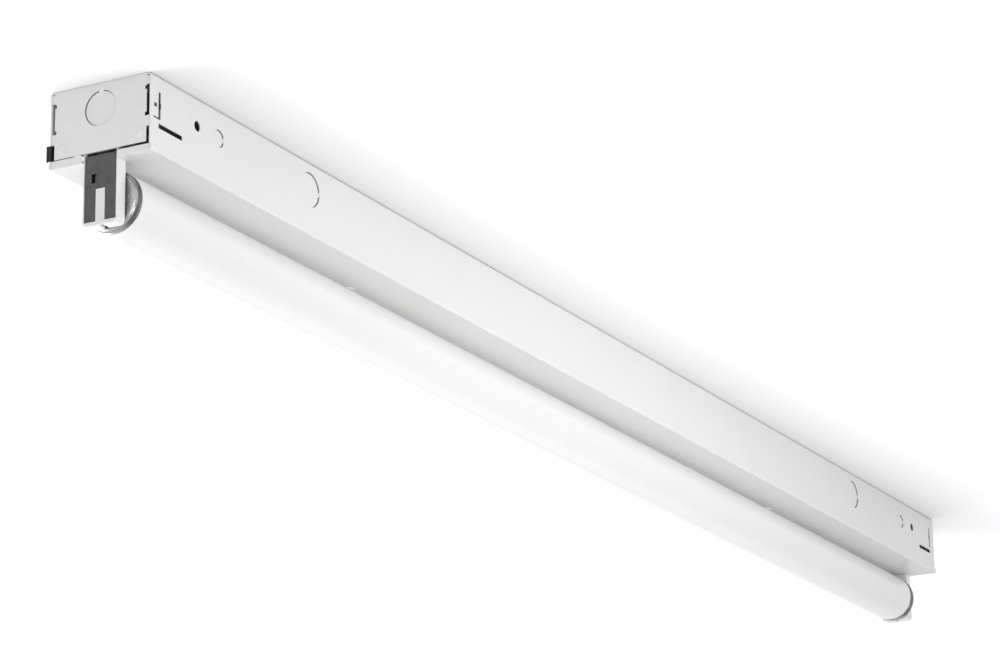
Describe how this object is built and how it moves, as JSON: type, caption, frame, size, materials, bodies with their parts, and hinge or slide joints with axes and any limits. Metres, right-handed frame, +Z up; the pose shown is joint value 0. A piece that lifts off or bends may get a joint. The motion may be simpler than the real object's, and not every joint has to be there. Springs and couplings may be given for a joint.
{
  "type": "fluorescent strip fixture",
  "caption": "Slim ceiling strip light: folded steel channel with end plates and cover, open-backed lampholders at both ends and a straight tubular lamp below.",
  "frame": {"origin": "centre of the back face, where the fixture meets the ceiling", "axes": "+X along the lamp towards the right end, +Y across the channel, +Z up into the ceiling"},
  "size_m": [1.2202, 0.0729, 0.0882],
  "materials": {
    "white_enamel": "semi-gloss baked enamel",
    "zinc_steel": "zinc plated",
    "latch_steel": "white enamel",
    "clip_steel": "black oxide finish on spring steel",
    "washer_nylon": "moulded nylon",
    "holder_white": "moulded, semi-gloss",
    "carrier_grey": "moulded, matt",
    "contact_brass": "rolled strip",
    "lamp_glass": "clear glass over a white powder coating",
    "cap_aluminium": "drawn, bright",
    "disc_board": "pressed insulating board",
    "stem_glass": "clear",
    "cathode_metal": "drawn wire",
    "ballast_black": "baked black enamel",
    "core_steel": "stacked sheet",
    "coil_copper": "enamelled wire",
    "capacitor_can": "drawn can",
    "potting_compound": "poured compound",
    "lead_blue": "extruded insulation",
    "lead_red": "extruded insulation",
    "lead_black": "extruded insulation",
    "lead_white": "extruded insulation",
    "connector_orange": "moulded",
    "ground_green": "green finish"
  },
  "bodies": {
    "fixture": {"housing_channel": "white_enamel", "end_plate_left": "white_enamel", "end_plate_right": "white_enamel", "channel_cover": "white_enamel", "corner_clip_left": "clip_steel", "corner_clip_right": "clip_steel", "latch_strap_left": "zinc_steel", "latch_strap_right": "zinc_steel", "lampholder_body_left": "holder_white", "lampholder_body_right": "holder_white", "contact_carrier_left": "carrier_grey", "contact_carrier_right": "carrier_grey", "lamp_contacts_left": "contact_brass", "lamp_contacts_right": "contact_brass", "lampholder_bracket_left": "zinc_steel", "lampholder_bracket_right": "zinc_steel", "bracket_rivets_left": "white_enamel", "bracket_rivets_right": "white_enamel", "ballast_case": "ballast_black", "ballast_base": "ballast_black", "ballast_core": "core_steel", "ballast_coils": "coil_copper", "ballast_capacitor": "capacitor_can", "ballast_potting": "potting_compound", "ballast_grommets": "washer_nylon", "ballast_studs": "zinc_steel", "ballast_nuts": "zinc_steel", "blue_leads": "lead_blue", "red_leads": "lead_red", "black_lead": "lead_black", "white_lead": "lead_white", "wire_connectors": "connector_orange", "lead_clips": "zinc_steel", "ground_screw": "ground_green"},
    "lamp": {"glass_tube": "lamp_glass", "lamp_cap_left": "cap_aluminium", "lamp_cap_right": "cap_aluminium", "pin_disc_left": "disc_board", "pin_disc_right": "disc_board", "lamp_pins_left": "contact_brass", "lamp_pins_right": "contact_brass", "lamp_stem_left": "stem_glass", "lamp_stem_right": "stem_glass", "cathode_left": "cathode_metal", "cathode_right": "cathode_metal"},
    "left_latch": {"cover_latch_left": "latch_steel", "latch_washer_left": "washer_nylon"},
    "right_latch": {"cover_latch_right": "latch_steel", "latch_washer_right": "washer_nylon"}
  },
  "joints": [
    {"name": "lamp_turn", "type": "hinge", "parent": "fixture", "child": "lamp", "pos_m": [0, 0, -0.06915], "axis": [1, 0, 0], "range_deg": [0, 90]},
    {"name": "left_latch_turn", "type": "hinge", "parent": "fixture", "child": "left_latch", "pos_m": [-0.33, 0, -0.0476], "axis": [0, 0, 1], "range_deg": [0, 90]},
    {"name": "right_latch_turn", "type": "hinge", "parent": "fixture", "child": "right_latch", "pos_m": [0.33, 0, -0.0476], "axis": [0, 0, 1], "range_deg": [0, 90]}
  ]
}
